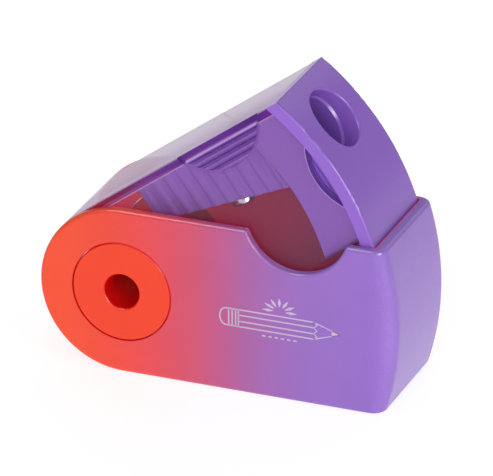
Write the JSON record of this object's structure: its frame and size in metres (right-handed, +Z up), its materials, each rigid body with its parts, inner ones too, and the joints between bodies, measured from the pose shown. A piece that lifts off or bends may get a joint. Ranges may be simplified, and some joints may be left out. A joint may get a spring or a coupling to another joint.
{
  "type": "pencil sharpener",
  "caption": "Pocket pencil sharpener with a see-through shavings container that swings out of a rounded protective sleeve.",
  "frame": {"origin": "centre of the base, on the surface that the sleeve rests on", "axes": "+X from the hub towards the end wall of the sleeve, +Y across the width, +Z up"},
  "size_m": [0.0514, 0.0196, 0.0426],
  "materials": {
    "sleeve_plastic": "satin, sprayed from orange to purple",
    "hub_plastic": "satin",
    "clear_plastic": "polished, tinted see-through",
    "cap_plastic": "satin",
    "insert_plastic": "satin",
    "blade_steel": "ground",
    "screw_steel": "zinc plated"
  },
  "bodies": {
    "sleeve": {"sleeve": "sleeve_plastic"},
    "drum": {"container": "clear_plastic", "front_hub_disc": "hub_plastic", "rear_hub_disc": "hub_plastic", "end_cap": "cap_plastic", "sharpening_insert": "insert_plastic", "blade": "blade_steel", "blade_screw": "screw_steel"}
  },
  "joints": [
    {"name": "container_swing", "type": "hinge", "parent": "sleeve", "child": "drum", "pos_m": [-0.0137, 0, 0.012], "axis": [0, -1, 0], "range_deg": [-35.9, 10]}
  ]
}
